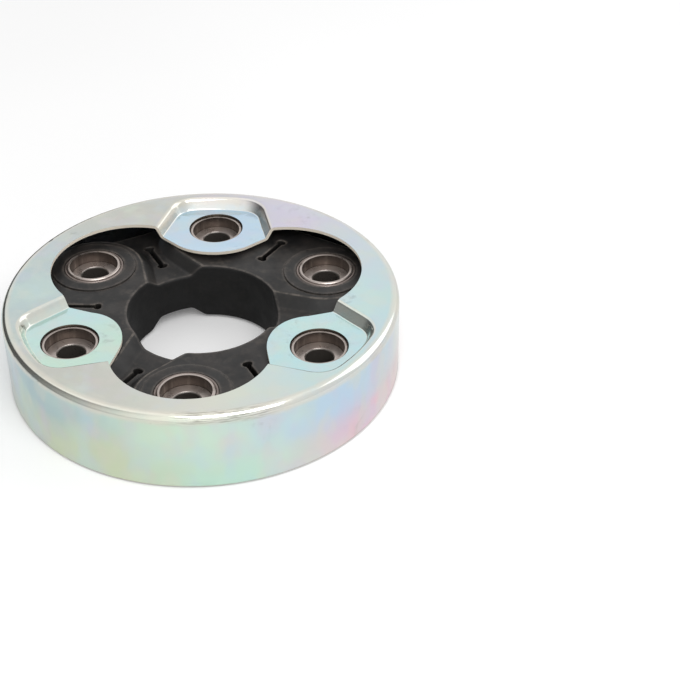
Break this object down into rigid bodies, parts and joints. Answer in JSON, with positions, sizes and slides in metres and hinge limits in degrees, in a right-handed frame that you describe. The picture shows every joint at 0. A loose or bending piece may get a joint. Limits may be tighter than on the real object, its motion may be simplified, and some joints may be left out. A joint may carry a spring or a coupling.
{
  "type": "disc coupling",
  "caption": "Flexible shaft coupling: a cord-laid rubber disc with counterbored steel bushes, held in a round pressed steel cage with lobed windows and pockets.",
  "frame": {"origin": "on the coupling's axis, in the plane on which the bush ends of the open side stand", "axes": "+Z along the shaft axis, out of the cage's pressed face; +Y through one of the bushes that pass through the cage"},
  "size_m": [0.1486, 0.1486, 0.0315],
  "materials": {
    "zinc_sheet": "zinc plated, pale iridescent passivation",
    "rubber": "matt moulded",
    "bush_steel": "turned, lightly oiled",
    "collar_steel": "plain",
    "cord": "wound cord, sealed in the rubber"
  },
  "bodies": {
    "root": {"cage": "zinc_sheet", "rubber_body": "rubber", "bush_1": "bush_steel", "bush_2": "bush_steel", "bush_3": "bush_steel", "bush_4": "bush_steel", "bush_5": "bush_steel", "bush_6": "bush_steel", "collar_upper_1": "collar_steel", "collar_upper_2": "collar_steel", "collar_upper_3": "collar_steel", "collar_upper_4": "collar_steel", "collar_upper_5": "collar_steel", "collar_upper_6": "collar_steel", "collar_lower_1": "collar_steel", "collar_lower_2": "collar_steel", "collar_lower_3": "collar_steel", "collar_lower_4": "collar_steel", "collar_lower_5": "collar_steel", "collar_lower_6": "collar_steel", "cord_middle_1": "cord", "cord_middle_2": "cord", "cord_middle_3": "cord", "cord_upper_1": "cord", "cord_upper_2": "cord", "cord_upper_3": "cord", "cord_lower_1": "cord", "cord_lower_2": "cord", "cord_lower_3": "cord"}
  },
  "joints": []
}
